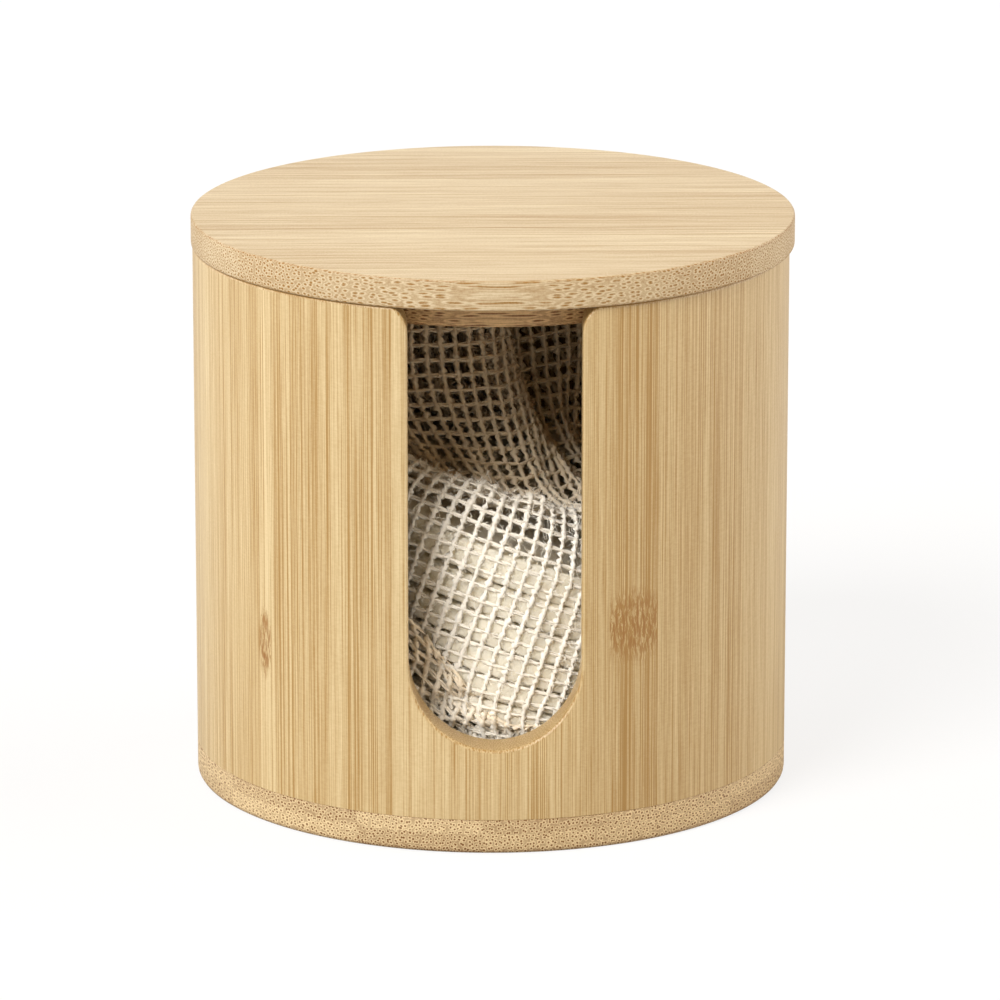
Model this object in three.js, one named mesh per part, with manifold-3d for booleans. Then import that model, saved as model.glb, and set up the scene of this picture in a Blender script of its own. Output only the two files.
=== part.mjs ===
// A makeup wipe dispenser: a round bamboo case with a dispensing slot, a lift-off bamboo lid,
// and a netting wash bag that holds a fanned stack of round cotton wipes.
// Millimetres, +Z up, origin at the centre of the underside, slot towards -Y.
import * as THREE from "three";
import { mergeVertices } from "three/addons/utils/BufferGeometryUtils.js";
import Module from "manifold-3d";

const wasm = await Module();
wasm.setup();

// Cotton wipes
const WIPE_DIAMETER = 76;
const WIPE_THICKNESS = 4.2;
const WIPE_COUNT = 6;
const WIPE_GAP = 0.3; // air round each wipe
const BOTTOM_TILT = 15; // degrees, low on the right
const TOP_TILT = 21;

// Netting wash bag, two panels sewn at the sides and under the bottom
const NET_THICKNESS = 0.8;
const SEAM_GAP = 0.3; // between the two panels
const BAG_CLEARANCE = 0.7; // to the bore
const BAG_CORNER_RADIUS = 5; // round the bottom
const BAG_SHOULDER_RADIUS = 8;
const BAG_SHOULDER_ROOM = 2.5; // over the highest wipe
const BAG_NECK_RADIUS = 15;
const BAG_MOUTH_FLARE = 4; // the mouth's ruffle beyond the neck
const BAG_LEAN_LEFT = 13; // how far the gathered neck lies to the left
const BAG_LEAN_BACK = 4; // and to the back
const BAG_PLEATS = 12;
const BAG_PLEAT_DEPTH = 1.5; // at the neck; the pleats fade out below the shoulder
const SLACK_REACH = 12; // how far right of the middle the bunched slack lies under the wipes
const SLACK_CLEARANCE = 1; // to the bag's sides

// Bamboo case
const WIPE_ROOM = 4.5; // the bore's radius beyond a wipe's
const HEADROOM = 22.7; // over the stack, for the bag's gathered neck
const WALL_THICKNESS = 6.9;
const BASE_THICKNESS = 5.7;
const BASE_STEP_HEIGHT = 2; // the round step that seats in the bore
const GLUE_CLEARANCE = 0.15;
const EDGE_RADIUS = 0.5; // sanded edges

// Dispensing slot: round sill, straight sides, corners rounded off at the open top
const SLOT_WIDTH = 28;
const SLOT_SILL_HEIGHT = 11.8; // wall left under the slot
const SLOT_FLARE_RADIUS = 4.8;
const SLOT_BAG_CLEARANCE = 0.6; // the bag's flat front behind the slot's inner corners

// Lid: a round board with a smaller board glued under it
const LID_THICKNESS = 5;
const LID_OVERHANG = 0.55;
const PLUG_THICKNESS = 4.5;
const PLUG_CLEARANCE = 0.35; // to the bore
const MOUTH_CLEARANCE = 1.6; // between the bag's mouth and the plug

// Facets
const CASE_SEGMENTS = 120;
const BAG_SEGMENTS = 48;
const WIPE_SEGMENTS = 32;
const EDGE_DIVISIONS = 1; // half as many as the facets of one rounded edge
const BAG_DIVISIONS = 2;
const FLARE_DIVISIONS = 4;
const SILL_DIVISIONS = 12;

// What follows from those sizes
const wipeRadius = WIPE_DIAMETER / 2;
const boreRadius = wipeRadius + WIPE_ROOM;
const caseRadius = boreRadius + WALL_THICKNESS;
const lidRadius = caseRadius + LID_OVERHANG;
const plugRadius = boreRadius - PLUG_CLEARANCE;
const floorHeight = BASE_THICKNESS + BASE_STEP_HEIGHT;
const bagRadius = boreRadius - BAG_CLEARANCE;
const slotCornerDepth = Math.sqrt(boreRadius ** 2 - (SLOT_WIDTH / 2) ** 2);
const bagFront = slotCornerDepth - SLOT_BAG_CLEARANCE;

// The wipes pivot on their right rims: each lies a step steeper than the one under it.
const bottomTilt = THREE.MathUtils.degToRad(BOTTOM_TILT);
const topTilt = THREE.MathUtils.degToRad(TOP_TILT);
const tiltStep = (topTilt - bottomTilt) / Math.max(WIPE_COUNT - 1, 1);
const wipeTilt = (index) => bottomTilt + index * tiltStep;
const wipePivotX = bagRadius - NET_THICKNESS - WIPE_GAP - WIPE_THICKNESS * Math.sin(topTilt);
const wipeCentreY = wipeRadius + NET_THICKNESS + WIPE_GAP - bagFront;
const wipeRests = [NET_THICKNESS + WIPE_GAP];
for (let under = 0; under + 1 < WIPE_COUNT; under++) {
  wipeRests.push(wipeRests[under] + WIPE_THICKNESS / Math.cos(wipeTilt(under)) + WIPE_GAP);
}
const topWipeRise = WIPE_DIAMETER * Math.sin(topTilt) + WIPE_THICKNESS * Math.cos(topTilt);
const stackHeight = wipeRests.at(-1) + topWipeRise;

const bagShoulderHeight = stackHeight + BAG_SHOULDER_ROOM + NET_THICKNESS;
const bagHeight = stackHeight + HEADROOM - MOUTH_CLEARANCE;
const wallHeight = BASE_STEP_HEIGHT + stackHeight + HEADROOM + PLUG_THICKNESS;
const rimHeight = BASE_THICKNESS + wallHeight;

// Materials
const bambooBoard = new THREE.MeshStandardMaterial({ color: 0xe6cd9c, roughness: 0.55, metalness: 0 });
const bambooWall = new THREE.MeshStandardMaterial({ color: 0xd6b27a, roughness: 0.55, metalness: 0 });
const cottonNet = new THREE.MeshStandardMaterial({ color: 0xeee6d6, roughness: 0.95, metalness: 0 });
const cottonPad = new THREE.MeshStandardMaterial({ color: 0xf4efe4, roughness: 0.95, metalness: 0 });

// A closed geometry as a solid, and back
function solidOf(geometry) {
  const bare = geometry.clone();
  bare.deleteAttribute("normal");
  bare.deleteAttribute("uv");
  const merged = mergeVertices(bare);
  return new wasm.Manifold(
    new wasm.Mesh({
      numProp: 3,
      vertProperties: merged.attributes.position.array,
      triVerts: new Uint32Array(merged.index.array),
    }),
  );
}

function geometryOf(solid) {
  const { vertProperties, triVerts } = solid.getMesh();
  const geometry = new THREE.BufferGeometry();
  geometry.setAttribute("position", new THREE.BufferAttribute(vertProperties, 3));
  geometry.setIndex(new THREE.BufferAttribute(triVerts, 1));
  geometry.computeVertexNormals();
  return geometry;
}

// A profile of radius and height, drawn anticlockwise, turned about Z
function revolve(profile, segments) {
  const points = profile.getPoints(EDGE_DIVISIONS);
  return new THREE.LatheGeometry(points, segments).rotateX(Math.PI / 2);
}

// A closed skin over rings of points: each ring has as many points, and flat caps close both ends
function loft(rings, capOutline) {
  const around = rings[0].length;
  const vertices = rings.flat().flatMap((point) => point.toArray());
  const faces = [];
  for (let ring = 0; ring + 1 < rings.length; ring++) {
    for (let side = 0; side < around; side++) {
      const next = (side + 1) % around;
      const [a, b] = [ring * around + side, ring * around + next];
      faces.push(a, b, a + around, b, b + around, a + around);
    }
  }
  const last = (rings.length - 1) * around;
  for (const [a, b, c] of THREE.ShapeUtils.triangulateShape(capOutline, [])) {
    faces.push(a, c, b, last + a, last + b, last + c);
  }
  const geometry = new THREE.BufferGeometry();
  geometry.setAttribute("position", new THREE.Float32BufferAttribute(vertices, 3));
  geometry.setIndex(faces);
  return geometry;
}

// A disc with a sanded edge above and below
function disc(radius, thickness, edge = EDGE_RADIUS) {
  const profile = new THREE.Path();
  profile.moveTo(0, 0);
  profile.lineTo(radius - edge, 0);
  profile.absarc(radius - edge, edge, edge, -Math.PI / 2, 0);
  profile.absarc(radius - edge, thickness - edge, edge, 0, Math.PI / 2);
  profile.lineTo(0, thickness);
  return profile;
}

// Base: a board as wide as the wall, with a step that seats in the bore
function baseDisc() {
  const stepRadius = boreRadius - GLUE_CLEARANCE;
  const profile = new THREE.Path();
  profile.moveTo(0, 0);
  profile.lineTo(caseRadius - EDGE_RADIUS, 0);
  profile.absarc(caseRadius - EDGE_RADIUS, EDGE_RADIUS, EDGE_RADIUS, -Math.PI / 2, 0);
  profile.lineTo(caseRadius, BASE_THICKNESS);
  profile.lineTo(stepRadius, BASE_THICKNESS);
  profile.lineTo(stepRadius, floorHeight);
  profile.lineTo(0, floorHeight);
  return revolve(profile, CASE_SEGMENTS);
}

// Outline of the slot in the front view, grown by some amount into the wall around it
function slotOutline(grown) {
  const half = SLOT_WIDTH / 2;
  const sillRadius = half + grown;
  const flare = SLOT_FLARE_RADIUS - grown;
  const flareX = half + SLOT_FLARE_RADIUS;
  const flareZ = wallHeight - SLOT_FLARE_RADIUS + EDGE_RADIUS;
  const aboveRim = wallHeight + LID_THICKNESS;
  const sill = new THREE.Path();
  sill.absarc(0, SLOT_SILL_HEIGHT + half, sillRadius, Math.PI, 2 * Math.PI);
  const right = new THREE.Path();
  right.absarc(flareX, flareZ, flare, Math.PI, Math.PI / 2, true);
  const flareRight = right.getPoints(FLARE_DIVISIONS);
  const flareLeft = flareRight.map((point) => new THREE.Vector2(-point.x, point.y)).reverse();
  return [
    ...sill.getPoints(SILL_DIVISIONS),
    ...flareRight,
    new THREE.Vector2(flareX, aboveRim),
    new THREE.Vector2(-flareX, aboveRim),
    ...flareLeft,
  ];
}

// The slot's cutter: the outline swept through the wall, grown at both faces to round their edges
function slotCutter() {
  const onPlane = (depth, grown) => slotOutline(grown).map(({ x, y }) => new THREE.Vector3(x, -depth, y));
  const onCylinder = (radius, grown) =>
    slotOutline(grown).map(({ x, y }) => new THREE.Vector3(x, -Math.sqrt(radius ** 2 - x ** 2), y));
  const turns = 2 * EDGE_DIVISIONS;
  const angles = Array.from({ length: turns + 1 }, (_, turn) => (turn / turns) * (Math.PI / 2));
  const grown = angles.map((angle) => EDGE_RADIUS * (1 - Math.sin(angle)));
  const depth = angles.map((angle) => EDGE_RADIUS * (1 - Math.cos(angle)));
  const inner = angles.map((_, turn) => onCylinder(boreRadius + depth[turn], grown[turn]));
  const outer = angles.map((_, turn) => onCylinder(caseRadius - depth[turn], grown[turn]));
  const inside = onPlane(slotCornerDepth - WALL_THICKNESS, EDGE_RADIUS);
  const outside = onPlane(caseRadius + WALL_THICKNESS, EDGE_RADIUS);
  return loft([inside, ...inner, ...outer.reverse(), outside], slotOutline(EDGE_RADIUS));
}

// Wall: a turned tube with the slot cut out of its front
function caseWall() {
  const [inner, outer, edge, top] = [boreRadius, caseRadius, EDGE_RADIUS, wallHeight];
  const profile = new THREE.Path();
  profile.moveTo(inner, 0);
  profile.lineTo(outer, 0);
  profile.absarc(outer - edge, top - edge, edge, 0, Math.PI / 2);
  profile.absarc(inner + edge, top - edge, edge, Math.PI / 2, Math.PI);
  profile.lineTo(inner, 0);
  const tube = solidOf(revolve(profile, CASE_SEGMENTS));
  return geometryOf(tube.subtract(solidOf(slotCutter())));
}

// Bag: one side of its profile from the bottom's centre to the mouth
function bagProfile() {
  const [corner, shoulder] = [BAG_CORNER_RADIUS, BAG_SHOULDER_RADIUS];
  const shoulderX = bagRadius - shoulder;
  const neckZ = (bagShoulderHeight + bagHeight) / 2;
  const profile = new THREE.Path();
  profile.moveTo(0, 0);
  profile.lineTo(bagRadius - corner, 0);
  profile.absarc(bagRadius - corner, corner, corner, -Math.PI / 2, 0);
  profile.absarc(shoulderX, bagShoulderHeight - shoulder, shoulder, 0, Math.PI / 2);
  profile.quadraticCurveTo(BAG_NECK_RADIUS, bagShoulderHeight, BAG_NECK_RADIUS, neckZ);
  profile.quadraticCurveTo(BAG_NECK_RADIUS, bagHeight, BAG_NECK_RADIUS + BAG_MOUTH_FLARE, bagHeight);
  return profile.getPoints(BAG_DIVISIONS);
}

// The same profile moved inwards by the net's thickness
function insetProfile(points) {
  return points.map((point, index) => {
    const before = points[Math.max(index - 1, 0)];
    const after = points[Math.min(index + 1, points.length - 1)];
    const along = after.clone().sub(before).normalize();
    return new THREE.Vector2(
      Math.max(point.x - along.y * NET_THICKNESS, 0),
      point.y + along.x * NET_THICKNESS,
    );
  });
}

// A ring of the bag: pleated and leaning above the shoulder, flat behind the slot
function bagRing(point, front) {
  const gathered = THREE.MathUtils.smoothstep(point.y, bagShoulderHeight - BAG_SHOULDER_RADIUS, bagHeight);
  const pleat = BAG_PLEAT_DEPTH * gathered;
  return Array.from({ length: BAG_SEGMENTS }, (_, side) => {
    const angle = (side / BAG_SEGMENTS) * 2 * Math.PI;
    const radius = point.x + pleat * (Math.cos(BAG_PLEATS * angle) - 1);
    const x = radius * Math.cos(angle) - BAG_LEAN_LEFT * gathered;
    const y = radius * Math.sin(angle) + BAG_LEAN_BACK * gathered;
    return new THREE.Vector3(x, Math.max(y, -front), point.y);
  });
}

// The whole bag is a skin of outer rings up to the mouth and inner rings back down again
function bagSolid() {
  const outer = bagProfile();
  const inner = insetProfile(outer).reverse();
  const hubRadius = BAG_CORNER_RADIUS;
  const withHub = (points) => points.map(({ x, y }) => new THREE.Vector2(Math.max(x, hubRadius), y));
  const rings = [
    ...withHub(outer).map((point) => bagRing(point, bagFront)),
    ...withHub(inner).map((point) => bagRing(point, bagFront - NET_THICKNESS)),
  ];
  const hubOutline = rings[0].map((point) => new THREE.Vector2(point.x, point.y));
  return solidOf(loft(rings, hubOutline));
}

// A block that fills all space on one side of a plane through the origin
function halfSpace(direction) {
  const reach = 4 * caseRadius;
  return new THREE.BoxGeometry(reach, reach, reach).translate(...direction.clone().setLength(reach / 2));
}

// One panel of the bag: the part of it in front of the side seams, or behind them
function bagPanel(side) {
  const other = halfSpace(new THREE.Vector3(0, -side, 0)).translate(0, (side * SEAM_GAP) / 2, 0);
  return geometryOf(bagSolid().subtract(solidOf(other)));
}

// Slack of the bag, bunched in the wedge between its bottom and the raised left of the lowest wipe
function bagSlack() {
  const radius = bagRadius - NET_THICKNESS - SLACK_CLEARANCE;
  const front = bagFront - NET_THICKNESS - SLACK_CLEARANCE;
  const room = disc(radius, bagShoulderHeight - BAG_SHOULDER_RADIUS, BAG_CORNER_RADIUS);
  const underWipe = halfSpace(new THREE.Vector3(0, 0, 1)).rotateY(bottomTilt);
  underWipe.translate(wipePivotX, 0, -WIPE_GAP);
  const rightOfReach = halfSpace(new THREE.Vector3(1, 0, 0)).translate(SLACK_REACH, 0, 0);
  const inFront = halfSpace(new THREE.Vector3(0, -1, 0)).translate(0, -front, 0);
  const cuts = [underWipe, rightOfReach, inFront].map(solidOf);
  return geometryOf(cuts.reduce((rest, cut) => rest.subtract(cut), solidOf(revolve(room, BAG_SEGMENTS))));
}

// Wipe: a round pad with a full-round rim
function wipe() {
  return revolve(disc(wipeRadius, WIPE_THICKNESS, WIPE_THICKNESS / 2), WIPE_SEGMENTS);
}

function piece(name, geometry, material, height) {
  const mesh = new THREE.Mesh(geometry, material);
  mesh.name = name;
  mesh.position.z = height;
  return mesh;
}

const dispenser = new THREE.Group();

dispenser.add(piece("base_disc", baseDisc(), bambooBoard, 0));
dispenser.add(piece("case_wall", caseWall(), bambooWall, BASE_THICKNESS));

const bag = new THREE.Group();
bag.position.z = floorHeight;
bag.add(piece("bag_front_panel", bagPanel(-1), cottonNet, 0));
bag.add(piece("bag_back_panel", bagPanel(1), cottonNet, 0));
bag.add(piece("bag_slack", bagSlack(), cottonNet, wipeRests[0]));
for (let index = 0; index < WIPE_COUNT; index++) {
  const tilt = wipeTilt(index);
  const rise = wipeRests[index] + wipeRadius * Math.sin(tilt);
  const mesh = piece(`wipe_${index + 1}`, wipe(), cottonPad, rise);
  mesh.position.x = wipePivotX - wipeRadius * Math.cos(tilt);
  mesh.position.y = wipeCentreY;
  mesh.rotation.y = tilt;
  bag.add(mesh);
}
dispenser.add(bag);

const lid = new THREE.Group();
lid.position.z = rimHeight;
const lidBoard = revolve(disc(lidRadius, LID_THICKNESS), CASE_SEGMENTS);
const plugBoard = revolve(disc(plugRadius, PLUG_THICKNESS), CASE_SEGMENTS);
lid.add(piece("lid_disc", lidBoard, bambooBoard, 0));
lid.add(piece("lid_plug", plugBoard, bambooBoard, -PLUG_THICKNESS));
dispenser.add(lid);

export default dispenser;
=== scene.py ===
"""A makeup wipe dispenser: a round bamboo case with a slot and a lid, and a net bag of wipes inside."""

import math

import bpy
import numpy as np
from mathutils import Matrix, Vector


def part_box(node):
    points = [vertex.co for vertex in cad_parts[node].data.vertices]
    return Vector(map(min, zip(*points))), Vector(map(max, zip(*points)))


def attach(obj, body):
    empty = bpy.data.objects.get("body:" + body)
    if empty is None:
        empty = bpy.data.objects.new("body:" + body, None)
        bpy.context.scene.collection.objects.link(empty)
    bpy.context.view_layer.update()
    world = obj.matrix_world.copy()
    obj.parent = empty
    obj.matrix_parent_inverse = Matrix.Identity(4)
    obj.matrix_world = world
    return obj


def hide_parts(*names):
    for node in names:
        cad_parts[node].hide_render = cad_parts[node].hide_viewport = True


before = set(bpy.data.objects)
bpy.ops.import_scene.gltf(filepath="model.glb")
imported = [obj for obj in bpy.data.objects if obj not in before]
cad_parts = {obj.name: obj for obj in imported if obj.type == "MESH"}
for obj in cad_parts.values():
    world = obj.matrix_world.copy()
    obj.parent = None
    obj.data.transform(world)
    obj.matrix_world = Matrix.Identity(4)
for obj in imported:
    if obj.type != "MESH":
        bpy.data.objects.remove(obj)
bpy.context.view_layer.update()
MM = 0.001
scene = bpy.context.scene


def rgb(red, green, blue):
    """A colour as read off a screen, 0 to 255, made linear for the nodes."""
    linear = [c / 3294.6 if c <= 10 else ((c / 255 + 0.055) / 1.055) ** 2.4 for c in (red, green, blue)]
    return (*linear, 1)


def node(tree, kind, inputs=None, **settings):
    """Adds a shader node. An input given as a socket is linked, and any other is set."""
    made = tree.nodes.new("ShaderNode" + kind)
    for name, value in settings.items():
        setattr(made, name, value)
    for name, value in (inputs or {}).items():
        if isinstance(value, bpy.types.NodeSocket):
            tree.links.new(value, made.inputs[name])
        else:
            made.inputs[name].default_value = value
    return made


def reckon(tree, operation, *values):
    """A Math node's result."""
    return node(tree, "Math", dict(enumerate(values)), operation=operation).outputs[0]


def mix(tree, factor, first, second, blend="MIX"):
    """Two colours mixed."""
    made = node(tree, "Mix", data_type="RGBA", blend_type=blend, clamp_factor=True)
    for socket, value in zip((made.inputs[0], made.inputs[6], made.inputs[7]), (factor, first, second)):
        if isinstance(value, bpy.types.NodeSocket):
            tree.links.new(value, socket)
        else:
            socket.default_value = value
    return made.outputs[2]


def ramp(tree, factor, stops):
    """A smooth ramp of grey values over a factor, as (place, value) stops."""
    made = node(tree, "ValToRGB", {"Fac": factor})
    made.color_ramp.interpolation = "EASE"
    elements = made.color_ramp.elements
    while len(elements) < len(stops):
        elements.new(0.5)
    for element, (place, value) in zip(elements, stops):
        element.position = place
        element.color = (value, value, value, 1)
    return made.outputs["Color"]


def new_material(name):
    """An empty material and its tree."""
    material = bpy.data.materials.new(name)
    material.use_nodes = True
    material.node_tree.nodes.clear()
    return material, material.node_tree


def surface(tree, shader):
    """Ends a material's tree with a shader."""
    node(tree, "OutputMaterial", {"Surface": shader})


def aimed(azimuth, elevation):
    """The direction back towards a camera or lamp, from degrees round and up."""
    a, e = math.radians(azimuth), math.radians(elevation)
    return Vector((math.sin(a) * math.cos(e), -math.cos(a) * math.cos(e), math.sin(e)))


def facing(towards):
    """The turn of a camera or lamp that looks back from a direction."""
    return (-towards).to_track_quat("-Z", "Y").to_euler()


# Camera: a long lens a little above the case and a touch to its left
CAMERA_AIM = Vector((0, 0, 45 * MM))
CAMERA_DISTANCE = 1200.83 * MM
back = aimed(-0.84, 15.33)
bpy.ops.object.camera_add(location=CAMERA_AIM + back * CAMERA_DISTANCE, rotation=facing(back))
camera = bpy.context.object
camera.data.lens = 258.54
camera.data.sensor_width = 36
camera.data.shift_x = 0.00902
camera.data.shift_y = 0.00604
camera.data.clip_start = 0.05
camera.data.clip_end = 20
scene.camera = camera

# Light: a light tent, warm in front and white at both sides, and four soft lamps, the strongest high on the
# left. The camera and the gloss on the pieces see the tent as plain white.
scene.view_settings.view_transform = "Standard"
WHITE, WARM = (1, 1, 1), (1, 0.8, 0.55)
TENT_FRONT, TENT_SIDES = 0.13, 0.62
scene.world = bpy.data.worlds.new("light_tent")
scene.world.use_nodes = True
world = scene.world.node_tree
world.nodes.clear()
path = node(world, "LightPath").outputs
sideways = node(world, "SeparateXYZ", {0: node(world, "TexCoord").outputs["Generated"]}).outputs["X"]
sideways = reckon(world, "ABSOLUTE", sideways)
strength = reckon(world, "MULTIPLY_ADD", reckon(world, "POWER", sideways, 2.0), TENT_SIDES, TENT_FRONT)
flank = node(world, "MapRange", {"Value": sideways, 1: 0.5, 2: 1.0}).outputs[0]
hue = mix(world, flank, (*WARM, 1), (*WHITE, 1))
tent = node(world, "Background", {"Color": hue, "Strength": strength}).outputs[0]
plain = node(world, "Background", {"Color": (*WHITE, 1), "Strength": 1.0}).outputs[0]
seen = reckon(world, "MAXIMUM", path["Is Camera Ray"], path["Is Glossy Ray"])
sky = node(world, "MixShader", {0: seen, 1: tent, 2: plain}).outputs[0]
node(world, "OutputWorld", {"Surface": sky})
for name, towards, brightness, softness, tint in (
    ("key_lamp", aimed(-38, 38), 1.05, 32, WHITE),
    ("left_wall", aimed(-108, 20), 0.45, 70, WHITE),
    ("right_wall", aimed(100, 20), 0.6, 70, WHITE),
    ("front_fill", aimed(70, 22), 0.2, 60, WARM),
):
    bpy.ops.object.light_add(type="SUN", location=towards, rotation=facing(towards))
    lamp = bpy.context.object
    lamp.name = name
    lamp.data.energy = brightness * math.pi
    lamp.data.angle = math.radians(softness)
    lamp.data.color = tint

# Floor: a white sweep that shows only the soft shadow. What the camera sees of it is mostly a glow, which
# keeps the shadow faint, and the light that it throws on the pieces is that of a grey card.
FLOOR_BOUNCE, FLOOR_SHADE, FLOOR_GLOW = 0.52, 0.175, 0.79
bpy.ops.mesh.primitive_plane_add(size=12)
floor = bpy.context.object
floor.name = "floor"
material, tree = new_material("white_floor")
path = node(tree, "LightPath").outputs
matt = node(tree, "BsdfDiffuse", {"Color": (FLOOR_BOUNCE, FLOOR_BOUNCE, FLOOR_BOUNCE, 1)}).outputs[0]
faint = node(tree, "BsdfDiffuse", {"Color": (FLOOR_SHADE, FLOOR_SHADE, FLOOR_SHADE, 1)}).outputs[0]
glow = node(tree, "Emission", {"Color": (*WHITE, 1), "Strength": FLOOR_GLOW}).outputs[0]
shown = node(tree, "AddShader", {0: faint, 1: glow}).outputs[0]
surface(tree, node(tree, "MixShader", {0: path["Is Camera Ray"], 1: matt, 2: shown}).outputs[0])
floor.data.materials.append(material)


def new_group(name, inputs, outputs):
    """A node group with its sockets, and the nodes at its two ends."""
    tree = bpy.data.node_groups.new(name, "ShaderNodeTree")
    for socket, kind in inputs.items():
        tree.interface.new_socket(socket, in_out="INPUT", socket_type="NodeSocket" + kind)
    for socket, kind in outputs.items():
        tree.interface.new_socket(socket, in_out="OUTPUT", socket_type="NodeSocket" + kind)
    return tree, tree.nodes.new("NodeGroupInput").outputs, tree.nodes.new("NodeGroupOutput").inputs


def scaled(tree, vector, x, y, z):
    """A vector stretched along each axis."""
    return node(tree, "VectorMath", {0: vector, 1: (x, y, z)}, operation="MULTIPLY").outputs[0]


def noise(tree, vector, detail=2.0, roughness=0.5):
    """A noise texture's value over a vector that is already scaled."""
    return node(
        tree, "TexNoise", {"Vector": vector, "Scale": 1.0, "Detail": detail, "Roughness": roughness}
    ).outputs["Fac"]


# Bamboo grain: fibres along the vector's Z in millimetres. Along the grain it shows fine amber lines and soft
# bands. Wherever a face cuts across it, it shows small eyes, each a dark dot of fibre bundle in a pale ring.
bamboo, given, made = new_group(
    "bamboo grain",
    {
        "Vector": "Vector", "End": "Float", "Tone": "Float", "Streaks": "Float", "Eyes": "Float",
        "Pale": "Color", "Deep": "Color",
    },
    {"Color": "Color", "Height": "Float"},
)
GROUND_TONE = 0.2
mm = given["Vector"]
drift = {"Vector": scaled(bamboo, mm, 0.06, 0.06, 0.022), "Detail": 1.0}
drift = node(bamboo, "TexNoise", drift).outputs["Color"]
drift = node(bamboo, "VectorMath", {0: drift, 1: (0.5, 0.5, 0.5)}, operation="SUBTRACT").outputs[0]
drift = node(bamboo, "VectorMath", {0: drift, 1: (0.9, 0.9, 0), 2: mm}, operation="MULTIPLY_ADD").outputs[0]
bundles = {"Vector": drift, "Scale": 1.45, "Randomness": 0.7}
bundles = node(bamboo, "TexVoronoi", bundles, voronoi_dimensions="2D").outputs["Distance"]
eyes = ramp(bamboo, bundles, [(0.0, 0.95), (0.17, 0.8), (0.31, 0.08), (0.4, 0.0), (0.55, 0.4)])
lines = ramp(bamboo, noise(bamboo, scaled(bamboo, mm, 4.6, 4.6, 0.006), 2.0), [(0.48, 0.0), (0.64, 1.0)])
hairlines = ramp(bamboo, noise(bamboo, scaled(bamboo, mm, 6.5, 6.5, 0.012), 1.0), [(0.52, 0.0), (0.62, 1.0)])
broken = ramp(bamboo, noise(bamboo, scaled(bamboo, mm, 0.4, 0.4, 0.015), 2.0), [(0.3, 0.35), (0.65, 1.0)])
bands = noise(bamboo, scaled(bamboo, mm, 0.7, 0.7, 0.004), 3.0)
fibres = noise(bamboo, scaled(bamboo, mm, 5.0, 5.0, 0.08), 3.0, 0.75)
chatter = noise(bamboo, scaled(bamboo, mm, 1.4, 1.4, 3.5), 3.0)
specks = noise(bamboo, scaled(bamboo, mm, 1.8, 1.8, 1.8), 4.0, 0.75)
along = reckon(bamboo, "MULTIPLY", reckon(bamboo, "MULTIPLY", lines, broken), 0.5)
along = reckon(bamboo, "MULTIPLY_ADD", hairlines, 0.52, along)
along = reckon(bamboo, "MULTIPLY_ADD", reckon(bamboo, "SUBTRACT", bands, 0.5), 0.2, along)
along = reckon(bamboo, "MULTIPLY", along, given["Streaks"])
along = reckon(bamboo, "MULTIPLY_ADD", reckon(bamboo, "SUBTRACT", fibres, 0.5), 1.25, along)
along = reckon(bamboo, "MULTIPLY_ADD", reckon(bamboo, "SUBTRACT", chatter, 0.5), 0.4, along)
across = reckon(bamboo, "MULTIPLY", eyes, given["Eyes"])
across = reckon(bamboo, "MULTIPLY_ADD", reckon(bamboo, "SUBTRACT", specks, 0.5), 0.9, across)
cut = node(bamboo, "Mix", {0: given["End"], 2: along, 3: across}, data_type="FLOAT").outputs[0]
dark = reckon(bamboo, "ADD", reckon(bamboo, "ADD", cut, GROUND_TONE), given["Tone"])
bamboo.links.new(mix(bamboo, dark, given["Pale"], given["Deep"]), made["Color"])
bamboo.links.new(reckon(bamboo, "SUBTRACT", 1.0, cut), made["Height"])


def split(tree, vector):
    """A vector's X, Y and Z."""
    return node(tree, "SeparateXYZ", {0: vector}).outputs


def millimetres(tree):
    """A point's place on its piece, in millimetres."""
    return scaled(tree, node(tree, "TexCoord").outputs["Object"], 1000, 1000, 1000)


def relief(tree, height, strength, depth):
    """The normal of a fine relief, its depth in millimetres."""
    return node(tree, "Bump", {"Height": height, "Strength": strength, "Distance": depth * MM}).outputs[0]


STRIP_SHIFT = 2.0


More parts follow.
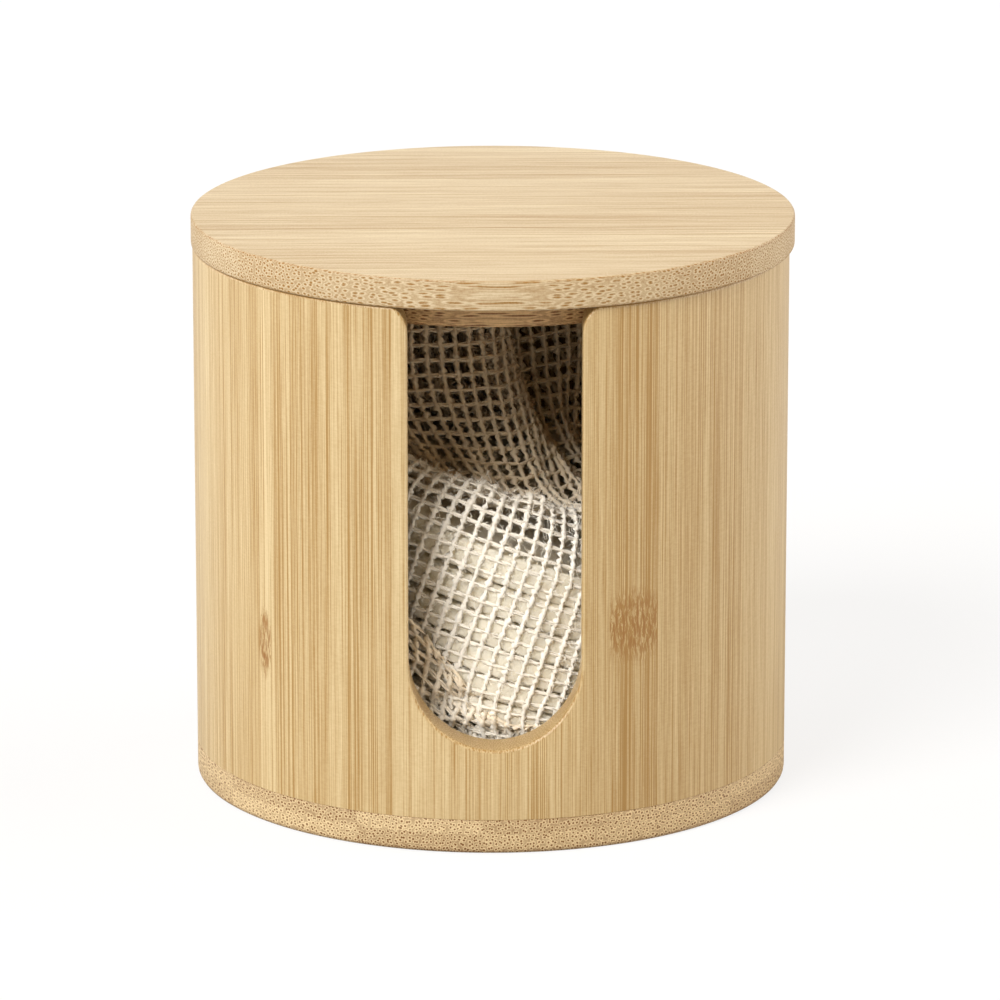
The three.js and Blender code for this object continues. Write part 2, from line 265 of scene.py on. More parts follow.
def board(name, turn, strip_width, ply, pale, deep, streaks, eyes, shade):
    """Bamboo glued up from flat strips in plies, each with its own tone. Rounded edges are a little darker.

    turn puts the fibres' axis last, as 'YZX' for a grain along X. A ply thicker than the case is one layer.
    """
    material, tree = new_material(name)
    place = split(tree, millimetres(tree))
    normal = split(tree, node(tree, "TexCoord").outputs["Normal"])
    strip = reckon(tree, "DIVIDE", reckon(tree, "ADD", place[turn[0]], STRIP_SHIFT), strip_width)
    strip = reckon(tree, "FLOOR", strip)
    layer = reckon(tree, "FLOOR", reckon(tree, "DIVIDE", place["Z"], ply))
    # Each strip of each ply takes its grain from another place, and its tone from a wave over their numbers
    chance = {"W": reckon(tree, "MULTIPLY_ADD", layer, 31.0, strip)}
    chance = node(tree, "TexWhiteNoise", chance, noise_dimensions="1D").outputs["Color"]
    grain = node(tree, "CombineXYZ", {0: place[turn[0]], 1: place[turn[1]], 2: place[turn[2]]}).outputs[0]
    grain = {0: chance, 1: (70, 0, 300), 2: grain}
    grain = node(tree, "VectorMath", grain, operation="MULTIPLY_ADD").outputs[0]
    tone = reckon(tree, "MULTIPLY_ADD", strip, 2.4, reckon(tree, "MULTIPLY_ADD", layer, -2.51, 3.34))
    tone = reckon(tree, "MULTIPLY", reckon(tree, "SINE", tone), shade)
    level = reckon(tree, "ABSOLUTE", normal["Z"])
    flat = reckon(tree, "ABSOLUTE", reckon(tree, "MULTIPLY_ADD", level, 2.0, -1.0))
    tone = reckon(tree, "MULTIPLY_ADD", reckon(tree, "SUBTRACT", 1.0, flat), 0.3, tone)
    side = reckon(tree, "MULTIPLY", reckon(tree, "SUBTRACT", 1.0, level), 0.55)
    end = reckon(tree, "MAXIMUM", reckon(tree, "ABSOLUTE", normal[turn[2]]), side)
    end = node(tree, "MapRange", {"Value": end, 1: 0.05, 2: 0.75}).outputs[0]
    wood = {"Vector": grain, "End": end, "Tone": tone}
    wood |= {"Streaks": streaks, "Eyes": eyes, "Pale": pale, "Deep": deep}
    wood = node(tree, "Group", wood, node_tree=bamboo).outputs
    finish = {"Base Color": wood["Color"], "Roughness": 0.5, "Specular IOR Level": 0.45}
    finish |= {"Normal": relief(tree, wood["Height"], 0.25, 0.05)}
    surface(tree, node(tree, "BsdfPrincipled", finish).outputs[0])
    return material


def select_only(piece):
    """Makes one object the selected and active one."""
    bpy.ops.object.select_all(action="DESELECT")
    piece.select_set(True)
    bpy.context.view_layer.objects.active = piece


def settle(piece):
    """Puts an object's place, turn and size into its mesh."""
    select_only(piece)
    bpy.ops.object.transform_apply(location=True, rotation=True, scale=True)


def add_modifier(piece, kind, **settings):
    """Adds a modifier and applies it."""
    select_only(piece)
    modifier = piece.modifiers.new(kind.lower(), kind)
    for name, value in settings.items():
        setattr(modifier, name, value)
    bpy.ops.object.modifier_apply(modifier=modifier.name)


def smooth(piece, degrees=35):
    """Smooth shading that keeps the sharp edges."""
    select_only(piece)
    bpy.ops.object.shade_smooth_by_angle(angle=math.radians(degrees))


def new_piece(name, corners, edges, faces):
    """An object from corners in millimetres."""
    mesh = bpy.data.meshes.new(name)
    mesh.from_pydata((np.array(corners) * MM).tolist(), edges, faces)
    piece = bpy.data.objects.new(name, mesh)
    scene.collection.objects.link(piece)
    select_only(piece)
    return piece


def face_out():
    """Welds the active mesh and turns all its faces outwards."""
    bpy.ops.object.mode_set(mode="EDIT")
    bpy.ops.mesh.select_all(action="SELECT")
    bpy.ops.mesh.remove_doubles(threshold=0.002 * MM)
    bpy.ops.mesh.normals_make_consistent(inside=False)
    bpy.ops.object.mode_set(mode="OBJECT")


LATHE_STEPS = 216


def turned(name, corners, ring=False):
    """A piece turned on a lathe, from (radius, height, rounding) corners in millimetres.

    A ring's outline is closed.
    """
    outline = []
    for before, corner, after in zip(corners[-1:] + corners[:-1], corners, corners[1:] + corners[:1]):
        at, rounding = np.array(corner[:2]), corner[2]
        a, b = (
            at + rounding * (near - at) / np.linalg.norm(near - at)
            for near in map(np.array, (before[:2], after[:2]))
        )
        steps = np.linspace(0, 1, 5 if rounding else 1)[:, None]
        outline += (a * (1 - steps) ** 2 + 2 * at * steps * (1 - steps) + b * steps**2).tolist()
    edges = [(i, i + 1) for i in range(len(outline) - 1)] + ([(len(outline) - 1, 0)] if ring else [])
    piece = new_piece(name, [(r, 0, z) for r, z in outline], edges, [])
    add_modifier(
        piece, "SCREW", axis="Z", steps=LATHE_STEPS, render_steps=LATHE_STEPS, use_merge_vertices=True
    )
    face_out()
    smooth(piece)
    return piece


# Base board: a round bamboo board, sanded flush with the wall, with a step that seats in the bore.
# Its fibres run from front to back, so its end grain shows at the front, in thin plies.
WALL_RADIUS = 49.4
BORE_RADIUS = 42.5
STEP_RADIUS = BORE_RADIUS - 0.15
STEP_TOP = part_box("base_disc")[1].z / MM
BASE_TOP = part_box("case_wall")[0].z / MM
base = turned(
    "base_board",
    [
        (0, 0, 0), (WALL_RADIUS, 0, 0.9), (WALL_RADIUS, BASE_TOP, 0.12),
        (STEP_RADIUS, BASE_TOP, 0), (STEP_RADIUS, STEP_TOP, 0.4), (0, STEP_TOP, 0),
    ],
)
base.data.materials.append(
    board(
        "bamboo_base", "XZY", strip_width=20.5, ply=3.3, pale=rgb(230, 206, 160), deep=rgb(110, 70, 24),
        streaks=0.9, eyes=0.92, shade=0.075,
    )
)
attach(base, "case")
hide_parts("base_disc")

# Case wall: a tube turned from upright bamboo strips, with a round-bottomed slot milled through its front.
# All the slot's edges are rounded over, and its top corners flare out to the rim.
SLOT_HALF = 14
SLOT_SILL = 17.5
SILL_POINTS = 65
FLARE = 4.8
ROUNDING = 0.6
CUT_FROM, CUT_TO = -30, -60
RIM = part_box("case_wall")[1].z / MM
wall = turned(
    "case_tube",
    [
        (BORE_RADIUS, BASE_TOP, 0.05), (WALL_RADIUS, BASE_TOP, 0.12),
        (WALL_RADIUS, RIM, 0.6), (BORE_RADIUS, RIM, 0.4),
    ],
    ring=True,
)


def slot_ring(radius, grown):
    """The slot's outline, wider by grown, laid on a cylinder about the case's axis.

    A radius below 0 lays it on an upright plane instead, at that Y.
    """
    sill = np.linspace(math.pi, 2 * math.pi, SILL_POINTS)
    corner = np.linspace(math.pi, math.pi / 2, 17)
    reach, flare = SLOT_HALF + grown, FLARE - grown
    outer, middle = SLOT_HALF + FLARE, SLOT_SILL + SLOT_HALF
    x = [reach * np.cos(sill), outer + flare * np.cos(corner), [outer]]
    z = [middle + reach * np.sin(sill), RIM - FLARE + ROUNDING + flare * np.sin(corner), [RIM + 5]]
    x, z = np.concatenate(x), np.concatenate(z)
    x = np.concatenate([x, -x[: SILL_POINTS - 1 : -1]])
    z = np.concatenate([z, z[: SILL_POINTS - 1 : -1]])
    y = np.full_like(x, radius) if radius < 0 else -np.sqrt(radius**2 - x**2)
    return np.stack([x, y, z], 1)


turns = np.linspace(0, math.pi / 2, 6)
over = [(ROUNDING * (1 - math.cos(t)), ROUNDING * (1 - math.sin(t))) for t in turns]
rings = [slot_ring(CUT_FROM, ROUNDING)] + [slot_ring(BORE_RADIUS + deep, grown) for deep, grown in over]
rings += [slot_ring(WALL_RADIUS - deep, grown) for deep, grown in over[::-1]]
rings.append(slot_ring(CUT_TO, ROUNDING))
count = len(rings[0])
faces = [
    (r * count + i, r * count + (i + 1) % count, (r + 1) * count + (i + 1) % count, (r + 1) * count + i)
    for r in range(len(rings) - 1)
    for i in range(count)
]
faces += [tuple(range(count)), tuple(range((len(rings) - 1) * count, len(rings) * count))]
cutter = new_piece("slot_cutter", np.concatenate(rings), [], faces)
face_out()
add_modifier(wall, "BOOLEAN", operation="DIFFERENCE", object=cutter)
bpy.data.objects.remove(cutter)
smooth(wall, 30)

material, tree = new_material("bamboo_wall")
place = split(tree, millimetres(tree))
normal = split(tree, node(tree, "TexCoord").outputs["Normal"])
forward = reckon(tree, "MULTIPLY", place["Y"], -1.0)
degrees = reckon(tree, "DEGREES", reckon(tree, "ARCTAN2", place["X"], forward))
radial = node(tree, "CombineXYZ", {0: place["X"], 1: place["Y"]}).outputs[0]
radial = node(tree, "VectorMath", {0: radial}, operation="LENGTH").outputs["Value"]

# Strips of the wall: the angle from the front where each begins, how dark it is, and how streaky.
# Those round the back are drawn by chance.
KNOT_LEFT, KNOT_RIGHT = 22, 32.3
chance = np.random.default_rng(5)
strips = [
    (-80, -0.12, 1.1), (-67.4, 0.0, 1.4), (-54.8, 0.12, 1.1), (-51.3, -0.16, 1.2), (-47.2, 0.06, 1.4),
    (-33.4, 0.0, 1.0), (-30.5, 0.08, 1.6), (-20.6, -0.02, 0.7), (-9, 0.03, 1.1), (3, 0.05, 1.2),
    (12.4, 0.14, 0.8), (KNOT_LEFT, 0.25, 1.5), (KNOT_RIGHT, 0.08, 1.0), (41.4, 0.06, 1.3),
    (54.8, 0.0, 1.2), (67.4, -0.04, 1.0),
]
strips += [
    (angle, chance.uniform(-0.08, 0.1), chance.uniform(0.4, 1.2))
    for angle in (*range(-180, -80, 15), *range(80, 180, 15))
]


def strip_values(turn):
    """The strips' darkness, streakiness and seed at an angle from the front."""
    made = node(tree, "ValToRGB", {"Fac": reckon(tree, "MULTIPLY_ADD", turn, 1 / 360, 0.5)})
    made.color_ramp.interpolation = "CONSTANT"
    elements = made.color_ramp.elements
    elements.remove(elements[1])
    for number, (angle, tone, streaky) in enumerate(sorted(strips)):
        element = elements[0] if number == 0 else elements.new(angle / 360 + 0.5)
        element.position = angle / 360 + 0.5
        element.color = (tone + 0.5, streaky / 2, (number * 0.618) % 1, 1)
    return node(tree, "SeparateColor", {0: made.outputs["Color"]}).outputs


def spot(angle, height, wide, tall, edge):
    """1 within an oval on the wall, given in degrees and millimetres, and 0 beyond its soft edge."""
    x = reckon(tree, "DIVIDE", reckon(tree, "SUBTRACT", degrees, angle), wide)
    z = reckon(tree, "DIVIDE", reckon(tree, "SUBTRACT", place["Z"], height), tall)
    reach = reckon(tree, "ADD", reckon(tree, "POWER", x, 2.0), reckon(tree, "POWER", z, 2.0))
    fade = {"Value": reckon(tree, "SQRT", reach), 1: 1 - edge, 2: 1.0, 3: 1.0, 4: 0.0}
    return node(tree, "MapRange", fade, interpolation_type="SMOOTHSTEP").outputs[0]


JOINT_WIDTH = 0.16
darkness, streakiness, seed = strip_values(degrees)
joint = strip_values(reckon(tree, "ADD", degrees, JOINT_WIDTH))[2]
joint = reckon(tree, "ABSOLUTE", reckon(tree, "SUBTRACT", seed, joint))
joint = reckon(tree, "GREATER_THAN", joint, 0.01)
# The right strip has a knot, where a stem's joint was, and the narrow left one a small eye with a dark pip
knot = spot(27.2, 37, 9.5, 7.5, 0.7)
knot = reckon(tree, "MULTIPLY", knot, reckon(tree, "GREATER_THAN", degrees, KNOT_LEFT))
knot = reckon(tree, "MULTIPLY", knot, reckon(tree, "LESS_THAN", degrees, KNOT_RIGHT))
eye = spot(-49.2, 31, 2.2, 7, 0.5)
pip = spot(-49.4, 28.6, 0.6, 1.0, 0.7)
arc = reckon(tree, "MULTIPLY", degrees, WALL_RADIUS * math.pi / 180)
waves = {0: arc, 1: 0.0, 2: reckon(tree, "MULTIPLY", place["Z"], 0.55)}
waves = noise(tree, node(tree, "CombineXYZ", waves).outputs[0])
bent = reckon(tree, "MULTIPLY", reckon(tree, "SUBTRACT", waves, 0.5), reckon(tree, "ADD", knot, eye))
grain = {0: reckon(tree, "MULTIPLY_ADD", bent, 2.2, arc), 1: radial, 2: place["Z"]}
grain = node(tree, "CombineXYZ", grain).outputs[0]
shift = node(tree, "CombineXYZ", {0: seed, 1: seed, 2: seed}).outputs[0]
grain = {0: shift, 1: (70, 90, 300), 2: grain}
grain = node(tree, "VectorMath", grain, operation="MULTIPLY_ADD").outputs[0]
marks = {0: reckon(tree, "MULTIPLY", arc, 2.4), 1: 3.0, 2: reckon(tree, "MULTIPLY", place["Z"], 0.45)}
marks = noise(tree, node(tree, "CombineXYZ", marks).outputs[0], 3.0)
marks = ramp(tree, marks, [(0.42, 0.0), (0.6, 1.0)])
# The bore is a little paler, and the joints, the marks and the end grain are darker
inside = node(tree, "MapRange", {"Value": radial, 1: 46.0, 2: 43.0, 3: 0.0, 4: -0.1}).outputs[0]
tone = reckon(tree, "ADD", reckon(tree, "SUBTRACT", darkness, 0.5), inside)
tone = reckon(tree, "MULTIPLY_ADD", joint, 0.14, tone)
tone = reckon(tree, "MULTIPLY_ADD", knot, reckon(tree, "MULTIPLY_ADD", marks, 0.5, 0.12), tone)
tone = reckon(tree, "MULTIPLY_ADD", eye, reckon(tree, "MULTIPLY_ADD", marks, 0.3, 0.3), tone)
end = node(tree, "MapRange", {"Value": reckon(tree, "ABSOLUTE", normal["Z"]), 1: 0.04, 2: 0.4}).outputs[0]
tone = reckon(tree, "MULTIPLY_ADD", end, 0.12, tone)
# Painted shade: a dark line along the rim's outer edge, under the lid, where the lid's shadow falls
painted_lid_shadow = node(tree, "MapRange", {"Value": place["Z"], 1: RIM - 0.4, 2: RIM - 0.15}).outputs[0]
outer = node(tree, "MapRange", {"Value": radial, 1: WALL_RADIUS - 0.4, 2: WALL_RADIUS - 0.2}).outputs[0]
tone = reckon(tree, "MULTIPLY_ADD", reckon(tree, "MULTIPLY", painted_lid_shadow, outer), 0.6, tone)
wood = {"Vector": grain, "End": end, "Tone": tone, "Streaks": reckon(tree, "MULTIPLY", streakiness, 2.0)}
wood |= {"Eyes": 1.2, "Pale": rgb(210, 188, 143), "Deep": rgb(158, 121, 60)}
wood = node(tree, "Group", wood, node_tree=bamboo).outputs
stain = reckon(tree, "MULTIPLY", reckon(tree, "ADD", knot, eye), reckon(tree, "MULTIPLY", marks, 0.75))
colour = mix(tree, reckon(tree, "MAXIMUM", stain, pip), wood["Color"], rgb(142, 93, 32))
finish = {"Base Color": colour, "Normal": relief(tree, wood["Height"], 0.2, 0.05)}
finish |= {"Roughness": 0.46, "Specular IOR Level": 0.6, "Coat Weight": 0.25, "Coat Roughness": 0.3}
surface(tree, node(tree, "BsdfPrincipled", finish).outputs[0])
wall.data.materials.append(material)
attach(wall, "case")
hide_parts("case_wall")

# Lid board: a round bamboo board that lies on the rim, its grain running from left to right.
# It sits a little to the right, within the play of its plug.
LID_RADIUS = 49.95
LID_PLAY = 0.3
ONE_PLY = 200
LID_LOW, LID_HIGH = (corner.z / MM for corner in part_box("lid_disc"))
lid = turned(
    "lid_board", [(0, LID_LOW, 0), (LID_RADIUS, LID_LOW, 0.4), (LID_RADIUS, LID_HIGH, 0.45), (0, LID_HIGH, 0)]
)
lid.location.x = LID_PLAY * MM
settle(lid)
lid.data.materials.append(
    board(
        "bamboo_lid", "YZX", strip_width=13, ply=ONE_PLY, pale=rgb(219, 203, 170), deep=rgb(144, 102, 36),
        streaks=0.8, eyes=1.03, shade=0.05,
    )
)
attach(lid, "lid")
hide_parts("lid_disc")

# Lid plug: a smaller board glued under the lid, which keeps it in the bore.
# Its grain runs with the lid's, and its edge shows at the top of the slot.
PLUG_RADIUS = 42.15
PLUG_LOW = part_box("lid_plug")[0].z / MM
plug = turned(
    "lid_plug_board",
    [(0, PLUG_LOW, 0), (PLUG_RADIUS, PLUG_LOW, 0.4), (PLUG_RADIUS, LID_LOW, 0.1), (0, LID_LOW, 0)],
)
plug.location.x = LID_PLAY * MM
settle(plug)
plug.data.materials.append(
    board(
        "bamboo_plug", "YZX", strip_width=17, ply=ONE_PLY, pale=rgb(238, 200, 144), deep=rgb(118, 76, 34),
        streaks=0.8, eyes=1.15, shade=0.03,
    )
)
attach(plug, "lid")
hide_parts("lid_plug")

# Wipes: round pads of soft cotton, a fanned stack that leans in the bag, low on the right.
# The weight of the stack presses the lower ones thinner.
WIPE_RADIUS = 38.0
WIPE_THICKNESS = 4.2
WIPE_FLUFF = 0.65
WIPE_TILT, WIPE_FAN = 15, 1.2
PRESSED = (2.5, 2.8, 3.5, 4.0, 4.2, 4.2)
wipe_places = []

cotton_pad, tree = new_material("cotton_pad")
fluff = millimetres(tree)
lumps = noise(tree, scaled(tree, fluff, 0.5, 0.5, 0.5), 3.0, 0.6)
fuzz = noise(tree, scaled(tree, fluff, 4.0, 4.0, 4.0), 3.0, 0.7)
colour = mix(tree, lumps, rgb(246, 233, 208), rgb(253, 244, 226))
bump = relief(tree, reckon(tree, "MULTIPLY_ADD", fuzz, 0.5, lumps), 0.8, 0.5)
cotton = {"Base Color": colour, "Roughness": 1.0, "Specular IOR Level": 0.05, "Normal": bump}
cotton |= {"Subsurface Weight": 0.7, "Subsurface Radius": (1, 1, 1), "Subsurface Scale": 2 * MM}
surface(tree, node(tree, "BsdfPrincipled", cotton).outputs[0])

lumpy = bpy.data.textures.new("lumpy", "CLOUDS")
lumpy.noise_scale = 11 * MM
fluffy = bpy.data.textures.new("fluffy", "CLOUDS")
fluffy.noise_scale = 1.6 * MM
fluffy.noise_depth = 4
for number, thickness in enumerate(PRESSED, 1):
    low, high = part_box(f"wipe_{number}")
    tilt = math.radians(WIPE_TILT + WIPE_FAN * (number - 1))
    axis = Vector((math.sin(tilt), 0, math.cos(tilt)))
    sunk = sum(WIPE_THICKNESS - t for t in PRESSED[: number - 1]) + (WIPE_THICKNESS - thickness) / 2
    centre = (low + high) / 2 - axis * sunk * MM
    bpy.ops.mesh.primitive_cylinder_add(
        vertices=96,
        radius=(WIPE_RADIUS + WIPE_FLUFF) * MM,
        depth=(thickness + 2 * WIPE_FLUFF) * MM,
        end_fill_type="TRIFAN",
    )
    wipe = bpy.context.object
    wipe.name = f"cotton_wipe_{number}"
    add_modifier(
        wipe, "BEVEL", width=1.0 * MM, segments=5, limit_method="ANGLE", angle_limit=math.radians(50)
    )
    wipe.rotation_euler = (0, tilt, 0)
    wipe.location = centre
    settle(wipe)
    add_modifier(wipe, "SUBSURF", levels=2, subdivision_type="SIMPLE")
    add_modifier(wipe, "DISPLACE", texture=lumpy, texture_coords="GLOBAL", strength=0.7 * MM, mid_level=0.75)
    add_modifier(wipe, "DISPLACE", texture=fluffy, texture_coords="GLOBAL", strength=0.6 * MM, mid_level=0.6)
    smooth(wipe, 180)
    wipe.data.materials.append(cotton_pad)
    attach(wipe, "contents")
    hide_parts(f"wipe_{number}")
    wipe_places.append((np.array(centre / MM), np.array(axis), thickness))

# Net bag: cotton netting in square meshes, two panels sewn at the sides and under the bottom.
# The stack fills its lower part. Its gathered top is pushed down to the left under the lid, and higher up
# the bag the netting is tinted warmer and darker as painted shade.
PITCH = 2.45
COLUMNS = 104
ROWS = 55
chance = np.random.default_rng(7)


def refined(points, steps):
    """A smooth line through points along the first axis, with steps to each span."""
    ends = np.concatenate([2 * points[:1] - points[1:2], points, 2 * points[-1:] - points[-2:-1]])
    a, b, c, d = ends[:-3], ends[1:-2], ends[2:-1], ends[3:]
    spans = []
    for t in np.arange(steps) / steps:
        curve = 2 * b + (c - a) * t
        curve = curve + (2 * a - 5 * b + 4 * c - d) * t**2 + (3 * b - a - 3 * c + d) * t**3
        spans.append(0.5 * curve)
    line = np.stack(spans, 1).reshape(-1, *points.shape[1:])
    return np.concatenate([line, points[-1:]])


def resampled(points, count):
    """The smooth line through points, as count points evenly spaced along it."""
    line = refined(np.array(points, float), 24)
    run = np.concatenate([[0], np.cumsum(np.linalg.norm(np.diff(line, axis=0), axis=1))])
    at = np.linspace(0, run[-1], count)
    return np.stack([np.interp(at, run, line[:, k]) for k in range(line.shape[1])], 1)


def ramped(values, start, end):
    """0 before start, 1 after end, and smooth between."""
    t = np.clip((values - start) / (end - start), 0, 1)
    return t * t * (3 - 2 * t)


# The bag's front from the bottom seam, over the stack and up to the mouth: reach from its middle, and height
MOUTH_REACH = 14.0
MOUTH_LEFT, MOUTH_FORWARD = 11, 3
profile = resampled(
    [
        (2, 8.7), (20, 8.6), (34, 8.9), (38.2, 12), (39.0, 20), (39.2, 32), (39.0, 43), (38.2, 50),
        (35.8, 55.5), (32.0, 58.4), (28.8, 57.2), (26.2, 53.0), (22.8, 51.2), (19.4, 54.0),
        (17.6, 62), (16.4, 71), (15.2, 79), (MOUTH_REACH, 85.2),
    ],
    ROWS,
)
run = np.arange(ROWS) * PITCH
# Where up its run the bag is gathered to the mouth, and where it leans with the stack
gather = ramped(run, 88, 122)
lean = ramped(run, 36, 54) * (1 - 0.55 * ramped(run, 78, 98)) * (1 - ramped(run, 100, 122))
# The mouth's folds, as the angle from the front and the reach there: a broad one in front, deep ones behind
folds = np.array(
    [(-75, 14), (-40, 14.5), (0, 14), (40, 14), (72, 13), (95, 6), (118, 30), (140, 7),
     (162, 29), (185, 7), (205, 27), (228, 6), (250, 26), (268, 7), (285, 14)], float
)
fold = resampled(folds, 721)
angles = np.radians(np.linspace(-75, 285, len(fold)))
fold = np.interp(np.degrees(angles), fold[:, 0], fold[:, 1]) / MOUTH_REACH
net = np.zeros((ROWS, COLUMNS, 3))
for row in range(ROWS):
    reach = profile[row, 0] * (1 - gather[row] + gather[row] * fold)
    ring_x = reach * np.sin(angles) - MOUTH_LEFT * gather[row]
    ring_y = -reach * np.cos(angles) - MOUTH_FORWARD * gather[row]
    ring = np.stack([ring_x, ring_y], 1)
    length = np.concatenate([[0], np.cumsum(np.linalg.norm(np.diff(ring, axis=0), axis=1))])
    front = np.interp(0, angles, length)
    at = (front + np.arange(COLUMNS) / COLUMNS * length[-1]) % length[-1]
    net[row, :, 0] = np.interp(at, length, ring[:, 0])
    net[row, :, 1] = np.interp(at, length, ring[:, 1])
    net[row, :, 2] = profile[row, 1]
# The lower part turns with the leaning stack
STACK_TURN = math.radians(21)
BAG_RADIUS = 40
shift = (run - 62) * math.sin(STACK_TURN) * ramped(run, 34, 46) * (1 - ramped(run, 86, 112))
angle = np.arctan2(net[..., 0], -net[..., 1])
radius = np.hypot(net[..., 0], net[..., 1])
angle = angle + (shift[:, None] / BAG_RADIUS) * np.cos(angle) * (1 - gather[:, None])
swung = np.stack([radius * np.sin(angle), -radius * np.cos(angle)], -1)
net[..., :2] += (swung - net[..., :2]) * (1 - gather[:, None, None])
net[..., 2] -= net[..., 0] * math.tan(STACK_TURN) * lean[:, None]
# It is drawn in under the raised left of the stack
below = np.clip((37 - net[..., 2]) - 1.85 * (net[..., 0] + 14), 0, 14)
below *= (net[..., 1] < 0) * ramped(run, 30, 44)[:, None]
net[..., 1] += 0.42 * below * ramped(net[..., 0], -40, -24)


def crumple(size, depth):
    """Smooth random bumps over the net, size meshes wide."""
    coarse = chance.normal(size=(ROWS // size + 3, COLUMNS // size))
    rows = np.linspace(0, coarse.shape[0] - 1.001, ROWS)
    columns = np.arange(COLUMNS) / size % coarse.shape[1]
    r, c = rows.astype(int), columns.astype(int)
    fr, fc = ramped(rows - r, 0, 1)[:, None], ramped(columns - c, 0, 1)[None]
    nr, nc = np.minimum(r + 1, coarse.shape[0] - 1), (c + 1) % coarse.shape[1]
    top = coarse[r][:, c] * (1 - fc) + coarse[r][:, nc] * fc
    bottom = coarse[nr][:, c] * (1 - fc) + coarse[nr][:, nc] * fc
    return depth * (top * (1 - fr) + bottom * fr)


def net_normals(net):
    """The direction out of the bag at each knot."""
    along = np.gradient(net, axis=0)
    around = np.roll(net, -1, 1) - np.roll(net, 1, 1)
    normal = np.cross(around, along)
    return normal / np.maximum(np.linalg.norm(normal, axis=-1, keepdims=True), 1e-9)


slackness = 0.35 + 0.65 * ramped(run, 70, 96)
net += net_normals(net) * ((crumple(13, 1.0) + crumple(5, 0.25)) * slackness[:, None])[..., None]
net += net_normals(net) * (crumple(3, 1.2) * (below > 0.5))[..., None]


def pull(net, a, b, rest, give, push):
    """Moves pairs of knots towards their distance at rest: by give where stretched, by push where crowded."""
    apart = net[b] - net[a]
    length = np.maximum(np.linalg.norm(apart, axis=-1, keepdims=True), 1e-6)
    part = np.where(length > rest, give, push) * 0.5 * (1 - rest / length)
    net[a] += apart * part
    net[b] -= apart * part


def pairs(axis, start, span):
    """Index pairs along an axis, every other one, span knots apart."""
    knots = np.arange(ROWS * COLUMNS).reshape(ROWS, COLUMNS)
    other = np.roll(knots, -span, axis)
    keep = np.arange(knots.shape[axis]) // span % 2 == start
    if axis == 0:
        keep &= np.arange(ROWS) < ROWS - span
        return knots[keep].ravel(), other[keep].ravel()
    return knots[:, keep].ravel(), other[:, keep].ravel()


KNOT_LIMITS = (41.2, -39.0, 8.4, 85.3)
FACE_SPARE = 0.25
EDGE_BAND = 3


def keep_in(points, limits):
    """Moves points back within limits: the reach from the case's axis, the front, the bottom and the top."""
    widest, front, bottom, top = limits
    reach = np.hypot(points[..., 0], points[..., 1])
    points[..., :2] *= np.minimum(1, widest / np.maximum(reach, 1e-6))[..., None]
    points[..., 1] = np.maximum(points[..., 1], front)
    points[..., 2] = np.clip(points[..., 2], bottom, top)


def keep_out(knots, clear):
    """Moves knots out of the wipes by a clear distance, sideways if they are near a wipe's edge."""
    for centre, axis, thickness in wipe_places:
        out = knots - centre
        height = out @ axis
        flat = out - height[:, None] * axis
        reach = np.maximum(np.linalg.norm(flat, axis=1), 1e-6)
        deep = WIPE_RADIUS + clear - reach
        thick = thickness / 2 + clear + FACE_SPARE - np.abs(height)
        inside = (deep > 0) & (thick > 0)
        sideways = inside & (deep < thick + EDGE_BAND)
        knots[sideways] += (flat / reach[:, None] * deep[:, None])[sideways]
        upright = inside & ~sideways
        knots[upright] += (np.sign(height)[:, None] * thick[:, None] * axis)[upright]


# The netting settles: threads keep their length, and knots stay out of the case, the lid and the wipes.
# Then its kinks are smoothed, more along the cords than across.
SETTLE_STEPS, SMOOTH_STEPS = 160, 3
HOLD, SAG = 0.03, 0.01
links = [(*pairs(axis, start, 1), PITCH, 0.9, 0.1) for axis in (1, 0) for start in (0, 1)]
stays = [(*pairs(axis, start, 2), 2 * PITCH, 0.0, 0.12) for axis in (1, 0) for start in (0, 1)]
shape = net.reshape(-1, 3).copy()
knots = shape.copy()
for _ in range(SETTLE_STEPS):
    for a, b, rest, give, push in links + stays:
        pull(knots, a, b, rest, give, push)
    knots += (shape - knots) * HOLD
    knots[:, 2] -= SAG
    keep_out(knots, 0.3)
    keep_in(knots, KNOT_LIMITS)
net = knots.reshape(ROWS, COLUMNS, 3)
for _ in range(SMOOTH_STEPS):
    net[1:-1] += 0.25 * (net[2:] + net[:-2] - 2 * net[1:-1])
    net += 0.1 * (np.roll(net, 1, 1) + np.roll(net, -1, 1) - 2 * net)
    keep_out(net.reshape(-1, 3), 0.45)
    keep_in(net, KNOT_LIMITS)


def strands(path, up, width, depth, twist, sides, beads=0.0):
    """Threads along many paths at once, as corners and faces: oval tubes that turn by twist at each point."""
    count, threads = path.shape[:2]
    ahead = np.gradient(path, axis=0)
    ahead /= np.maximum(np.linalg.norm(ahead, axis=-1, keepdims=True), 1e-9)
    side = np.cross(ahead, up)
    side /= np.maximum(np.linalg.norm(side, axis=-1, keepdims=True), 1e-9)
    over = np.cross(side, ahead)
    turn = np.linspace(0, 2 * math.pi, sides, endpoint=False)
    x, y = width / 2 * np.cos(turn), depth / 2 * np.sin(turn)
    cos, sin = np.cos(twist)[..., None], np.sin(twist)[..., None]
    plump = 1 + 0.2 * chance.normal(size=(count, threads, 1)).clip(-1.5, 1.5)
    plump += beads * (np.arange(count) % 2 * 2 - 1)[:, None, None]
    across, outward = (x * cos - y * sin) * plump, (x * sin + y * cos) * plump
    corners = path[:, :, None] + side[:, :, None] * across[..., None] + over[:, :, None] * outward[..., None]
    index = np.arange(count * threads * sides).reshape(count, threads, sides)
    after = np.roll(index, -1, 2)
    faces = np.stack([index[:-1], after[:-1], after[1:], index[1:]], -1).reshape(-1, 4)
    caps = np.concatenate([index[0][:, ::-1], index[-1]])
    return corners.reshape(-1, 3), faces.tolist() + caps.tolist()


